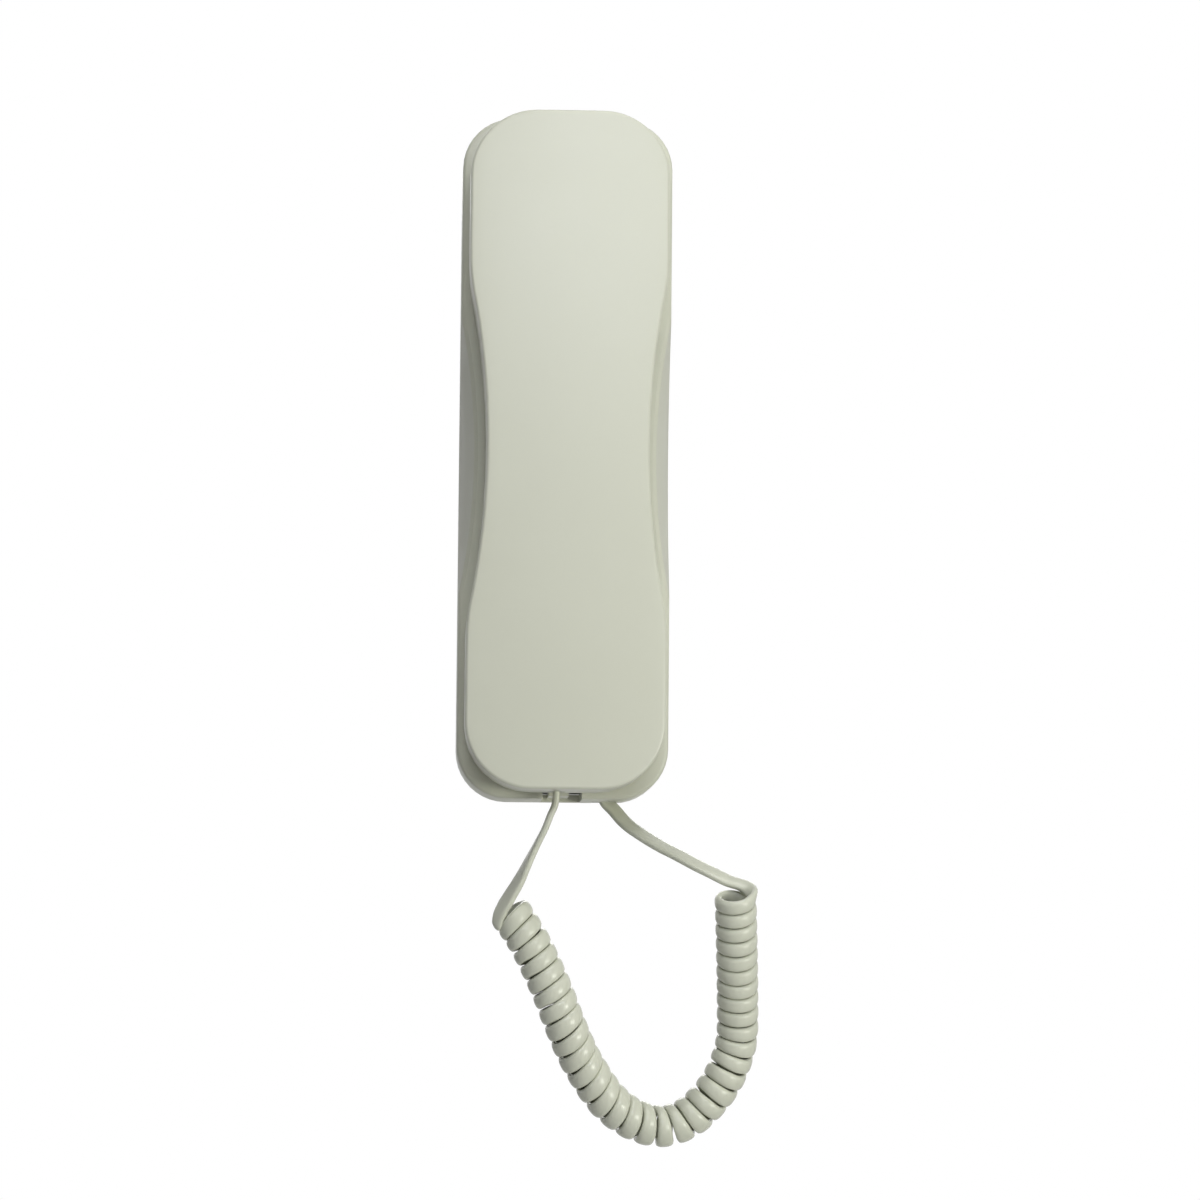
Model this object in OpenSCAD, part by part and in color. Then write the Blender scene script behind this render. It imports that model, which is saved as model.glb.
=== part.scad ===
// Slim wall-hung audio intercom: a wall base, a lift-off handset and a hanging curly cord.
// Inside each module x runs right, y up and z out from the wall. The wall face is z = 0.

/* [Base] */
// Width of the base
base_w = 62.5; // [60:0.5:70]
// Height of the base
base_h = 203; // [196:1:220]
// Depth of the base from the wall to its front rim
base_d = 23; // [22.5:0.5:27]
// Corner radius of the base seen from the front
base_corner_r = 15; // [12:0.5:18]
// Rounding of the front rim
rim_r = 1.2; // [0.6:0.1:2]
// Wall thickness of the base housing
base_wall = 2.2; // [1.9:0.1:2.5]
// Depth of each finger scoop at the rim
scoop_depth = 4.5; // [3:0.1:5.5]
// Half length of each finger scoop along the rim
scoop_half = 43; // [38:1:48]
// Distance from the wall at which the scoops run out
scoop_foot = 10; // [6:0.5:13]
// Width of the notch in the lower wall
notch_w = 11.6; // [10:0.2:14]
// Width of the tongue that stands in the notch
tongue_w = 6; // [4:0.2:8]
// Depth of the wells that take the ear and mouth caps
well_depth = 4.8; // [4.6:0.1:5.4]

/* [Wall plate] */
// Thickness of the wall plate
plate_t = 2.2; // [1.8:0.1:2.6]
// Gap between the plate's edge and the housing
plate_gap = 0.25; // [0.15:0.05:0.4]
// Distance between the two wall screw holes
wall_hole_pitch = 60; // [52:1:66]
// Diameter of the wall screw holes
wall_hole_d = 4.5; // [3.5:0.1:5.5]
// Width of the wire entry
entry_w = 30; // [20:1:34]
// Height of the wire entry
entry_h = 24; // [16:1:28]

/* [Handset] */
// Ledge of the base left in view at each side of the handset
side_ledge = 2.05; // [1.5:0.05:2.6]
// Ledge of the base left in view above and below the handset
end_ledge = 1.7; // [1.2:0.1:2.6]
// Gap between the handset's back and the base's front
handset_gap = 0.8; // [0.5:0.1:0.9]
// Depth of the handset from its back to the top of its crown
handset_d = 25.2; // [24.5:0.2:29]
// Depth of the inner shell from its back to the parting line
inner_d = 9.2; // [8.8:0.2:10.4]
// Corner radius of the handset seen from the front
handset_corner_r = 19.4; // [16:0.2:22]
// Depth of the waist at each side
waist_depth = 5.5; // [3.5:0.1:6.5]
// Half length of the waist
waist_half = 50.5; // [44:0.5:54]
// Rounding of the handset's front edge
edge_r = 0.9; // [0.6:0.1:1.6]
// Radius of the lengthwise crown
crown_len_r = 1800; // [1200:50:3000]
// Radius of the crosswise crown
crown_cross_r = 220; // [160:10:400]
// Wall thickness of both handset shells
shell_wall = 2; // [1.7:0.1:2.3]
// Radius of the ear cap
ear_r = 19; // [17.5:0.25:20]
// Radius of the mouth cap
mouth_r = 15.5; // [14:0.25:17]
// Height of both caps above the handset's back
cap_h = 4; // [3.6:0.1:4.4]
// Distance of both caps' centres from the handset's ends
cap_inset = 33.8; // [32:0.2:35]
// Diameter of the earpiece holes
grille_d = 1.8; // [1.2:0.1:2.4]

/* [Hanging peg and switches] */
// Slope of the hanging peg above square to the wall
peg_slope = 30; // [25:1:35]
// Width of the hanging peg
peg_w = 12; // [9:0.5:14]
// Thickness of the hanging peg
peg_t = 5; // [4:0.2:6]
// Clearance of the peg in its slot
peg_gap = 0.3; // [0.2:0.05:0.5]
// Radius of the hook plunger
plunger_r = 4.4; // [3.8:0.1:5]
// Travel of the hook plunger
plunger_travel = 4; // [3:0.25:4.5]
// Radial clearance of the plunger in the housing
plunger_gap = 0.08; // [0.04:0.01:0.1]
// Length of the release button
button_l = 17; // [14:0.5:20]
// Width of the release button
button_w = 8; // [7:0.5:10]
// Clearance of the release button in the housing
button_gap = 0.3; // [0.2:0.05:0.5]
// Travel of the release button
button_travel = 1; // [0.6:0.1:1.2]

/* [Circuit board] */
// Width of the circuit board
board_w = 40; // [38:0.5:44]
// Height of the circuit board
board_h = 76; // [74:1:84]
// Thickness of the circuit board
board_t = 1.6; // [1:0.2:1.6]
// Height of the terminal block behind the board
block_h = 7.2; // [6.6:0.2:7.4]
// Number of terminals
terminal_count = 4; // [3:1:4]

/* [Cord] */
// Width of the flat cord
cord_w = 5.2; // [4.6:0.1:5.4]
// Thickness of the flat cord
cord_t = 2.3; // [1.8:0.1:2.5]
// Outer diameter of the curls
coil_d = 12.4; // [11.4:0.1:12.8]
// Number of curls
coil_turns = 34.2; // [34.2:1:35.2]
// Gap kept between neighbouring curls
curl_gap = 0.45; // [0.45:0.05:0.9]

/* [Hidden] */
$fn = 48;
front_in = base_d - base_wall;
handset_w = base_w - 2 * side_ledge;
handset_h = base_h - 2 * end_ledge;
handset_z = base_d + handset_gap;
parting_z = handset_z + inner_d;
front_z = handset_z + handset_d;
cap_y = handset_h / 2 - cap_inset;
cap_floor = 1.8;
cap_z = handset_z - cap_h;
well_gap = 0.8;
well_rise = 3.2;
peg_y = cap_y - ear_r - 10.5;
board_z = plate_t + block_h + 0.5;
board_top = board_z + board_t;
board_hole_x = board_w / 2 - 4;
board_hole_y = board_h / 2 - 4;
hook_y = 10;
release_y = -16;
sounder_x = 10;
sounder_y = 24;
connector_x = 7.4;
hook_flange_top = front_in - plunger_travel - 0.2;
hook_flange_t = 1.2;
hook_flange_r = plunger_r + 1.6;
switch_h = 3.4;
screw_ys = [18, -34];
screw_seat_z = handset_z + 2.8;
tower_z = handset_z + 5.4;
receiver_z = cap_z + cap_floor + 1;
receiver_r = ear_r - 3;
exit_x = -2;
exit_z = handset_z + 5.8;
base_exit_x = 13;
base_exit_z = 4.6;
coil_r = (coil_d - cord_t) / 2;

// Side profile of the handset from its top to its waist, as [half width, height] pairs
corner_n = 8;
waist_r = (waist_half * waist_half + waist_depth * waist_depth) / (2 * waist_depth);
kink = 6;
function waist_x(y) = handset_w / 2 - sqrt(waist_r * waist_r - y * y) + waist_r - waist_depth;
function corner_pt(k) = [
    handset_w / 2 - handset_corner_r + handset_corner_r * sin(90 * k / corner_n),
    handset_h / 2 - handset_corner_r + handset_corner_r * cos(90 * k / corner_n)
];
kink_a = [handset_w / 2, waist_half + kink];
kink_b = [handset_w / 2, waist_half];
kink_c = [waist_x(waist_half - kink), waist_half - kink];
function kink_pt(u) = (1 - u) * (1 - u) * kink_a + 2 * u * (1 - u) * kink_b + u * u * kink_c;
upper_side = concat(
    [for (k = [0:corner_n]) corner_pt(k)],
    [for (u = [0:0.25:1]) kink_pt(u)],
    [for (k = [1:5]) [waist_x((waist_half - kink) * (1 - k / 6)), (waist_half - kink) * (1 - k / 6)]]
);
side_pts = concat(
    upper_side,
    [[waist_x(0), 0]],
    [for (k = [len(upper_side) - 1:-1:0]) [upper_side[k][0], -upper_side[k][1]]]
);
row_n = len(side_pts);
col_n = 9;
top_row = [for (j = [0:col_n - 1]) [side_pts[0][0] * (2 * j / (col_n - 1) - 1), side_pts[0][1]]];
loop_pts = concat(
    top_row,
    [for (i = [1:row_n - 2]) side_pts[i]],
    [for (j = [col_n - 1:-1:0]) [top_row[j][0], -top_row[j][1]]],
    [for (i = [row_n - 2:-1:1]) [-side_pts[i][0], side_pts[i][1]]]
);
loop_n = len(loop_pts);
function unit(v) = v / norm(v);
function loop_normal(i) =
    let (d = unit(loop_pts[(i + 1) % loop_n] - loop_pts[(i + loop_n - 1) % loop_n]))
    [-d[1], d[0]];
loop_normals = [for (i = [0:loop_n - 1]) loop_normal(i)];
function loop_at(inset) = [for (i = [0:loop_n - 1]) loop_pts[i] - inset * loop_normals[i]];
function crown(x, y, inset) =
    front_z - inset - y * y / (2 * crown_len_r) - x * x / (2 * crown_cross_r);

// One skin of the outer shell: rings up the wall and round the edge, then a crowned grid
function skin_rings(inset, r) = concat(
    [[for (p = loop_at(inset)) [p[0], p[1], parting_z]]],
    [for (a = [0:22.5:90])
        [for (p = loop_at(inset + r * (1 - cos(a))))
            [p[0], p[1], crown(p[0], p[1], inset) - r * (1 - sin(a))]]]
);
skin_n = 6;
function grid_inner(ring, inset) = [
    for (i = [1:row_n - 2])
        for (j = [1:col_n - 2])
            let (right = ring[col_n - 1 + i], x = right[0] * (2 * j / (col_n - 1) - 1))
            [x, right[1], crown(x, right[1], inset)]
];
function skin_points(inset, r) =
    let (rings = skin_rings(inset, r))
    concat([for (ring = rings) each ring], grid_inner(rings[skin_n - 1], inset));
function grid_index(i, j) =
    let (last = (skin_n - 1) * loop_n)
    i == 0 ? last + j :
    i == row_n - 1 ? last + col_n + row_n - 2 + col_n - 1 - j :
    j == col_n - 1 ? last + col_n - 1 + i :
    j == 0 ? last + loop_n - i :
    skin_n * loop_n + (i - 1) * (col_n - 2) + j - 1;
function band(a, b, n) = [
    for (i = [0:n - 1])
        let (k = (i + 1) % n)
        each [[a + i, b + i, b + k], [a + i, b + k, a + k]]
];
function skin_faces() = concat(
    [for (k = [0:skin_n - 2]) each flip(band(k * loop_n, (k + 1) * loop_n, loop_n))],
    [for (i = [0:row_n - 2])
        for (j = [0:col_n - 2])
            let (a = grid_index(i, j), b = grid_index(i, j + 1))
            let (c = grid_index(i + 1, j + 1), d = grid_index(i + 1, j))
            each [[a, b, c], [a, c, d]]]
);
function flip(faces) = [for (f = faces) [f[0], f[2], f[1]]];
function shift(faces, k) = [for (f = faces) [f[0] + k, f[1] + k, f[2] + k]];

// Sweeps: smooth routes, section frames and closed tubes
function spline_pt(p, i, u) =
    let (n = len(p) - 1)
    let (a = p[max(i - 1, 0)], b = p[i], c = p[min(i + 1, n)], d = p[min(i + 2, n)])
    0.5 * (2 * b + (c - a) * u + (2 * a - 5 * b + 4 * c - d) * u * u + (3 * b - a - 3 * c + d) * u * u * u);
function spline(p, k) = concat(
    [for (i = [0:len(p) - 2]) for (u = [0:k - 1]) spline_pt(p, i, u / k)],
    [p[len(p) - 1]]
);
function route_dir(p, i) = unit(p[min(i + 1, len(p) - 1)] - p[max(i - 1, 0)]);
function ring_at(c, t, broad, w, h, n) =
    let (u = unit(broad - (broad * t) * t), v = cross(t, u))
    [for (k = [0:n - 1]) c + w / 2 * cos(360 * k / n) * u + h / 2 * sin(360 * k / n) * v];
function tube_faces(rings, n) = concat(
    [[for (k = [0:n - 1]) k]],
    [for (r = [0:rings - 2]) each band(r * n, (r + 1) * n, n)],
    [[for (k = [n - 1:-1:0]) (rings - 1) * n + k]]
);
function lead_rings(p, b0, b1, w, h, n, t0, t1, w1) = [
    for (i = [0:len(p) - 1])
        let (u = i / (len(p) - 1))
        let (t = i == 0 && t0 != undef ? t0 : i == len(p) - 1 && t1 != undef ? t1 : route_dir(p, i))
        ring_at(p[i], t, b0 * (1 - u) + b1 * u, w1 == undef ? w : w * (1 - u) + w1 * u, h, n)
];

// Route of the coil's middle line, hanging in a U below the base, by distance from the base's lower edge
base_y = -base_h / 2;
coil_route = [for (p = [
    [-15.3, 33, 24.6], [-9, 42.7, 23.7], [-3.1, 54.7, 22.6], [1.3, 65.5, 21], [4.7, 73.1, 18.8],
    [8.2, 79.4, 16.7], [14.8, 88.4, 13.6], [23, 94.1, 10.6], [31.7, 95.8, 8.2], [39.7, 92.6, 7.7],
    [46.4, 85.7, 8.7], [50.2, 79, 9.8], [52.7, 70.3, 11.7], [52.6, 58.5, 16.3], [51.8, 43.9, 23.5],
    [50.8, 27.3, 30.1]
]) [p[0], base_y - p[1], p[2]]];
coil_line = spline(coil_route, 8);
coil_n = len(coil_line);
function run_sum(k) = k == 0 ? 0 : run_sum(k - 1) + norm(coil_line[k] - coil_line[k - 1]);
coil_run = [for (k = [0:coil_n - 1]) run_sum(k)];
coil_len = coil_run[coil_n - 1];
// The curls are widest apart round the lowest bend and closest at the base's end
function run_of(turn) =
    let (u = turn / coil_turns)
    coil_len * (u + 0.008 * sin(180 * u) - 0.013 * sin(360 * u));
function seg_of(s, k = 0) = k >= coil_n - 2 || coil_run[k + 1] >= s ? k : seg_of(s, k + 1);
function line_at(s) =
    let (k = seg_of(s), u = (s - coil_run[k]) / (coil_run[k + 1] - coil_run[k]))
    coil_line[k] * (1 - u) + coil_line[k + 1] * u;
function line_dir(s) =
    let (q = min(max(s, 0), coil_len))
    unit(line_at(min(q + 1.5, coil_len)) - line_at(max(q - 1.5, 0)));
// Each curl leans sideways and forwards along the line, the first one most
function lean_of(turn) = lookup(
    turn,
    [[0.5, 0.34], [2, 0], [coil_turns / 3, 0.16], [coil_turns * 2 / 3, -0.23], [coil_turns, -0.04]]
);
function tip_of(turn) = lookup(
    turn,
    [[0.8, 0.22], [2.2, 0.02], [coil_turns / 3, -0.16], [coil_turns * 2 / 3, 0.09], [coil_turns, 0.19]]
);
function curl_pt(turn) =
    let (a = 180 + 360 * turn)
    let (s = run_of(turn) - coil_r * (lean_of(turn) * cos(a) + tip_of(turn) * sin(a)), t = line_dir(s))
    let (n1 = unit(cross([0, 0, 1], t)), f = cross(t, n1))
    line_at(s) + coil_r * (cos(a) * n1 + sin(a) * f);
// Width left for the cord between the curls before and after
function room_of(turn) =
    let (c = curl_pt(turn), t = line_dir(run_of(turn)))
    let (before = turn < 1 ? cord_w + curl_gap : (c - curl_pt(turn - 1)) * t)
    let (after = turn > coil_turns - 1 ? cord_w + curl_gap : (curl_pt(turn + 1) - c) * t)
    min(before, after, cord_w + curl_gap) - curl_gap;
curl_rings_n = floor(coil_turns * 8) + 1;
function curl_ring(i) =
    let (turn = min(i / 8, coil_turns))
    let (d = unit(curl_pt(min(turn + 0.02, coil_turns)) - curl_pt(max(turn - 0.02, 0))))
    ring_at(curl_pt(turn), d, line_dir(run_of(turn)), room_of(turn), cord_t, 6);
curl_first = curl_pt(0);
curl_first_dir = unit(curl_pt(0.02) - curl_pt(0));
curl_last = curl_pt(coil_turns);
curl_last_dir = unit(curl_pt(coil_turns) - curl_pt(coil_turns - 0.02));
coil_start = curl_first - cord_t / 2 * curl_first_dir;
coil_end = curl_last + cord_t / 2 * curl_last_dir;
start_axis = line_dir(0);
end_axis = line_dir(coil_len);
curl_rings = concat(
    [ring_at(coil_start, curl_first_dir, start_axis, room_of(0), cord_t, 6)],
    [for (i = [0:curl_rings_n]) curl_ring(i)],
    [ring_at(coil_end, curl_last_dir, end_axis, room_of(coil_turns), cord_t, 6)]
);
function near_pair(a, b) = min([for (p = a) for (q = b) norm(p - q)]);
curl_clear = min([for (i = [0:len(curl_rings) - 8]) for (k = [7:9])
    i + k < len(curl_rings) ? near_pair(curl_rings[i], curl_rings[i + k]) : 9]);
echo(least_gap_between_curls = curl_clear, coil_length = coil_len);

// Routes of the two straight leads, from their grommets to the coil
lead_y = -handset_h / 2;
handset_route = concat(
    [[exit_x, lead_y + 2, exit_z], [exit_x, lead_y - 1, exit_z], [-2.4, lead_y - 4, exit_z]],
    [for (p = [
        [-3.6, 5.1, 29.6], [-5.2, 9.2, 29.6], [-6.9, 12.6, 29.6], [-8.6, 16, 29.6], [-10.2, 19.3, 29.6],
        [-11.8, 22.7, 29.5], [-13.3, 25.6, 29.3], [-14.8, 28.1, 29], [-16.2, 30.5, 28.8], [-17.4, 32.6, 28.5],
        [-18.3, 34.8, 28]
    ]) [p[0], base_y - p[1], p[2]]],
    [coil_start - 1.4 * curl_first_dir, coil_start - 0.05 * curl_first_dir]
);
base_route = concat(
    [[base_exit_x, base_y + 2.4, base_exit_z], [base_exit_x + 1, base_y, base_exit_z]],
    [for (p = [
        [16.4, 2.6, 6], [18.6, 5.3, 7.8], [21, 7.6, 9.8], [23.6, 9.5, 11.6], [27, 11.8, 13.8],
        [30.5, 13.9, 16], [33.9, 15.7, 18.1], [37.1, 17.5, 20.1], [40.5, 19.4, 22], [43.7, 21, 23.5],
        [46.8, 22.6, 24.6]
    ]) [p[0], base_y - p[1], p[2]]],
    [coil_end + 0.8 * curl_last_dir, coil_end + 0.05 * curl_last_dir]
);
handset_line = spline(handset_route, 2);
base_line = spline([for (k = [len(base_route) - 1:-1:0]) base_route[k]], 2);

// Routes of the wires inside the housing and the handset
wire_r = 0.8;
tail_route = [
    [base_exit_x, base_y + 4.2, base_exit_z], [base_exit_x, base_y + 12, 4.8], [12, base_y + 28, 5.2],
    [10, (base_y - 36) / 2 + 12, 5.6], [8, -44, 6.4], [connector_x, -36, board_z - 3]
];
ear_wire_route = [
    [exit_x - 0.9, lead_y + 5, exit_z], [-6, lead_y + 11, exit_z + 0.8], [-12, lead_y + 20, exit_z + 0.8],
    [-14, -cap_y, exit_z + 0.4], [-13, -40, exit_z], [-12.5, -10, exit_z], [-12.5, 16, exit_z],
    [-12, cap_y - 26, exit_z + 0.8], [-11, cap_y - 14, receiver_z + 8], [-10.5, cap_y - 9, receiver_z + 5.7]
];
mouth_wire_route = [
    [exit_x + 0.9, lead_y + 5, exit_z], [-0.6, lead_y + 11, exit_z + 1.4], [0, lead_y + 20, exit_z + 2.8],
    [0, -cap_y - 6, receiver_z + 9.4], [0, -cap_y - 2, receiver_z + 7.2]
];

module on_wall() {
    rotate([90, 0, 0]) children();
}

module rounded(w, h, r) {
    polygon([
        for (q = [0:3]) for (k = [0:8])
            let (a = 90 * q + 90 * k / 8)
            [
                (q == 0 || q == 3 ? 1 : -1) * (w / 2 - r) + r * cos(a),
                (q < 2 ? 1 : -1) * (h / 2 - r) + r * sin(a)
            ]
    ]);
}

// A slot with round ends, wider by grow on every side, stretched upwards by rise
module tall_round(r, rise, depth) {
    cylinder(r = r, h = depth);
    translate([0, rise, 0]) cylinder(r = r, h = depth);
    translate([-r, 0, 0]) cube([2 * r, rise, depth]);
}

module pan_screw(head_r, head_h, shank_r, shank_l) {
    difference() {
        union() {
            cylinder(r = head_r, h = head_h);
            translate([0, 0, head_h - 0.01]) cylinder(r = shank_r, h = shank_l);
        }
        translate([-head_r * 0.6, -head_r * 0.12, -1]) cube([head_r * 1.2, head_r * 0.24, 1 + head_h * 0.5]);
        translate([-head_r * 0.12, -head_r * 0.6, -1]) cube([head_r * 0.24, head_r * 1.2, 1 + head_h * 0.5]);
    }
}

module scoop_cone(grow) {
    scoop_r = (scoop_half * scoop_half + scoop_depth * scoop_depth) / (2 * scoop_depth);
    slope = scoop_depth / (base_d - scoop_foot);
    low = scoop_r + grow - slope * (base_d + 1);
    high = scoop_r + grow + slope;
    ease = 0.7 * rim_r;
    translate([base_w / 2 - scoop_depth + scoop_r, 0, -1]) cylinder(r1 = low, r2 = high, h = base_d + 2, $fn = 96);
    // Eased rim of the scoop
    translate([base_w / 2 - scoop_depth + scoop_r, 0, base_d - 2 * ease])
        cylinder(
            r1 = scoop_r + grow - (1 + 2 * slope) * ease,
            r2 = scoop_r + grow + (2 + slope) * ease,
            h = 3 * ease, $fn = 96
        );
}

module both_scoops(grow) {
    scoop_cone(grow);
    mirror([1, 0, 0]) scoop_cone(grow);
}

module base_outer() {
    hull() {
        for (sx = [-1, 1]) for (sy = [-1, 1])
            translate([sx * (base_w / 2 - base_corner_r), sy * (base_h / 2 - base_corner_r), 0])
                rotate_extrude($fn = 40) polygon(concat(
                    [[0, 0], [base_corner_r, 0]],
                    [for (a = [0:22.5:90]) [
                        base_corner_r - rim_r + rim_r * cos(a),
                        base_d - rim_r + rim_r * sin(a)
                    ]],
                    [[0, base_d]]
                ));
    }
}

module peg_profile(grow, z0, z1) {
    half = (peg_t / 2 + grow) / cos(peg_slope);
    y0 = peg_y + (z0 - base_d) * tan(peg_slope);
    y1 = peg_y + (z1 - base_d) * tan(peg_slope);
    translate([-peg_w / 2 - grow, 0, 0])
        rotate([90, 0, 90])
            linear_extrude(peg_w + 2 * grow)
                polygon([[y0 - half, z0], [y0 + half, z0], [y1 + half, z1], [y1 - half, z1]]);
}

module button_form(grow, z0, z1) {
    translate([0, release_y, z0])
        linear_extrude(z1 - z0)
            rounded(button_l + 2 * grow, button_w + 2 * grow, button_w / 2 + grow - 0.01);
}

module base_housing() {
    snap_y = base_h / 2 - 46;
    color([0.8, 0.81, 0.75]) on_wall() {
        difference() {
            union() {
                difference() {
                    base_outer();
                    both_scoops(0);
                    difference() {
                        translate([0, 0, -1])
                            linear_extrude(front_in + 1)
                                rounded(base_w - 2 * base_wall, base_h - 2 * base_wall, base_corner_r - base_wall);
                        both_scoops(base_wall);
                    }
                }
                // Cups of the ear and mouth wells
                translate([0, cap_y, base_d - well_depth - base_wall + 0.2])
                    tall_round(ear_r + well_gap + 1.8, well_rise, well_depth);
                translate([0, -cap_y, base_d - well_depth - base_wall + 0.2])
                    tall_round(mouth_r + well_gap + 1.8, well_rise, well_depth);
                // Posts for the circuit board
                for (sx = [-1, 1]) for (sy = [-1, 1])
                    translate([sx * board_hole_x, sy * board_hole_y, board_top])
                        cylinder(r = 3, h = front_in - board_top + 0.4);
                // Ribs that the wall plate bears against
                for (sx = [-1, 1]) for (sy = [-1, 1])
                    translate([sx * (base_w / 2 - base_wall - 0.9) - 1.2, sy * (base_h / 2 - 26) - 1.5, plate_t])
                        cube([2.4, 3, front_in - plate_t + 0.4]);
                peg_profile(0, front_in + 0.3, handset_z + 6.2);
                // Tongue in the notch
                translate([-0.9 - tongue_w / 2, base_y + 1, plate_t + 2])
                    cube([tongue_w, base_wall, base_d - plate_t - 5]);
                translate([-0.9 - tongue_w / 2, base_y + 2, plate_t + 2])
                    cube([tongue_w, 6.6, 1.6]);
            }
            translate([0, cap_y, base_d - well_depth]) tall_round(ear_r + well_gap, well_rise, well_depth + 1);
            translate([0, -cap_y, base_d - well_depth]) tall_round(mouth_r + well_gap, well_rise, well_depth + 1);
            translate([0, hook_y, front_in - 1]) cylinder(r = plunger_r + plunger_gap, h = base_wall + 2);
            button_form(button_gap, front_in - 1, base_d + 1);
            for (sx = [-1, 1]) for (sy = [-1, 1])
                translate([sx * board_hole_x, sy * board_hole_y, board_top - 1]) cylinder(r = 1.3, h = 8);
            for (k = [-1:1])
                translate([sounder_x - 4, sounder_y + 3 * k - 0.7, front_in - 1]) cube([8, 1.4, base_wall + 2]);
            // Slots at each side of the tongue
            translate([-notch_w / 2, base_y - 1, plate_t + 2])
                cube([notch_w / 2 - tongue_w / 2 - 0.9, base_wall + 2, base_d]);
            translate([tongue_w / 2 - 0.9, base_y - 1, plate_t + 2])
                cube([notch_w / 2 - tongue_w / 2 + 0.9, base_wall + 2, base_d]);
            translate([-notch_w / 2, base_y - 1, plate_t + 2]) cube([notch_w, 2, base_d]);
            translate([-notch_w / 2, base_y - 1, base_d - 3]) cube([notch_w, 6.6, 5]);
            // Opening for the base grommet
            translate([base_exit_x - 3.6, base_y - 1, -1]) cube([7.2, base_wall + 2, base_exit_z + 3.6]);
            // Pockets for the wall plate's snap fingers
            for (sx = [-1, 1]) for (sy = [-1, 1])
                translate([sx * (base_w / 2 - base_wall) - 0.9, sy * snap_y - 3.2, plate_t + 3.2])
                    cube([1.8, 6.4, 2]);
        }
    }
}

module wall_plate() {
    snap_y = base_h / 2 - 46;
    plate_w = base_w - 2 * base_wall - 2 * plate_gap;
    plate_h = base_h - 2 * base_wall - 2 * plate_gap;
    color([0.74, 0.75, 0.69]) on_wall() {
        difference() {
            union() {
                linear_extrude(plate_t) rounded(plate_w, plate_h, base_corner_r - base_wall - plate_gap);
                for (sx = [-1, 1]) for (sy = [-1, 1])
                    translate([sx * (plate_w / 2 - 0.8), sy * snap_y, 0]) {
                        translate([-0.8, -2.8, plate_t - 0.4]) cube([1.6, 5.6, 5.2]);
                        translate([sx * 0.75 - 0.75, -2.8, plate_t + 3.4]) cube([1.5, 5.6, 1.4]);
                    }
                // Stiffening frame round the wire entry
                translate([-entry_w / 2 - 1.6, -entry_h / 2 - 1.6, plate_t - 0.4])
                    cube([entry_w + 3.2, entry_h + 3.2, 1.9]);
            }
            for (s = [-1, 1])
                translate([0, s * wall_hole_pitch / 2, -1]) cylinder(d = wall_hole_d, h = plate_t + 2);
            translate([-entry_w / 2, -entry_h / 2, -1]) cube([entry_w, entry_h, plate_t + 4]);
            translate([base_exit_x - 4.2, base_y, -1]) cube([8.4, base_wall + 5.4, plate_t + 2]);
        }
    }
}

module base_grommet() {
    color([0.62, 0.63, 0.57]) on_wall() {
        difference() {
            union() {
                translate([base_exit_x - 3.5, base_y + 0.1, 0.1]) cube([7, base_wall + 0.9, base_exit_z + 2.4]);
                translate([base_exit_x - 4.1, base_y + base_wall + 0.1, 0.1]) cube([8.2, 1.6, base_exit_z + 3]);
            }
            translate([base_exit_x, base_y - 1, base_exit_z]) rotate([-90, 0, 0]) cylinder(r = 1.1, h = 9);
        }
    }
}

module circuit_board() {
    color([0.1, 0.32, 0.2]) on_wall()
        translate([0, 0, board_z]) difference() {
            translate([-board_w / 2, -board_h / 2, 0]) cube([board_w, board_h, board_t]);
            for (sx = [-1, 1]) for (sy = [-1, 1])
                translate([sx * board_hole_x, sy * board_hole_y, -1]) cylinder(r = 1.5, h = board_t + 2);
        }
}

module board_screws() {
    color([0.72, 0.72, 0.7]) on_wall()
        for (sx = [-1, 1]) for (sy = [-1, 1])
            translate([sx * board_hole_x, sy * board_hole_y, board_z - 1.6]) pan_screw(2.4, 1.6, 1.25, 7);
}

module terminal_block() {
    block_w = 3.5 * terminal_count + 1;
    color([0.16, 0.3, 0.22]) on_wall()
        translate([-14.5, -31.5, board_z - block_h]) difference() {
            cube([block_w, 7.4, block_h]);
            for (k = [0:terminal_count - 1]) translate([3.5 * k + 2.25, 0, 0]) {
                translate([0, 4.4, -1]) cylinder(r = 1.35, h = 5.4);
                translate([-1.2, -1, 2]) cube([2.4, 3.4, 2.6]);
            }
            translate([-1, 6.2, -1]) cube([block_w + 2, 2, 3]);
        }
}

module terminal_screws() {
    color([0.75, 0.74, 0.7]) on_wall()
        for (k = [0:terminal_count - 1])
            translate([-14.5 + 3.5 * k + 2.25, -27.1, board_z - block_h + 0.8]) difference() {
                cylinder(r = 1.3, h = 3.6);
                translate([-0.2, -2, -1]) cube([0.4, 4, 1.7]);
            }
}

module cord_connector() {
    color([0.86, 0.85, 0.8]) on_wall() {
        difference() {
            translate([connector_x - 5, -36, board_z - 5.6]) cube([10, 6, 5.6]);
            translate([connector_x - 4, -35, board_z - 7]) cube([8, 4, 5]);
        }
        translate([connector_x - 3.8, -34.8, board_z - 6.4]) cube([7.6, 3.6, 4.4]);
    }
}

module board_tail() {
    rings = lead_rings(spline(tail_route, 3), [1, 0, 0], [1, 0, 0], 3.4, 1.6, 8);
    color([0.75, 0.76, 0.7]) on_wall()
        polyhedron(points = [for (r = rings) each r], faces = tube_faces(len(rings), 8));
}

module hook_switch() {
    color([0.13, 0.13, 0.14]) on_wall()
        translate([0, hook_y, board_top]) {
            translate([-3, -3, 0]) cube([6, 6, switch_h - 0.8]);
            cylinder(r = 1.7, h = switch_h);
        }
}

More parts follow.
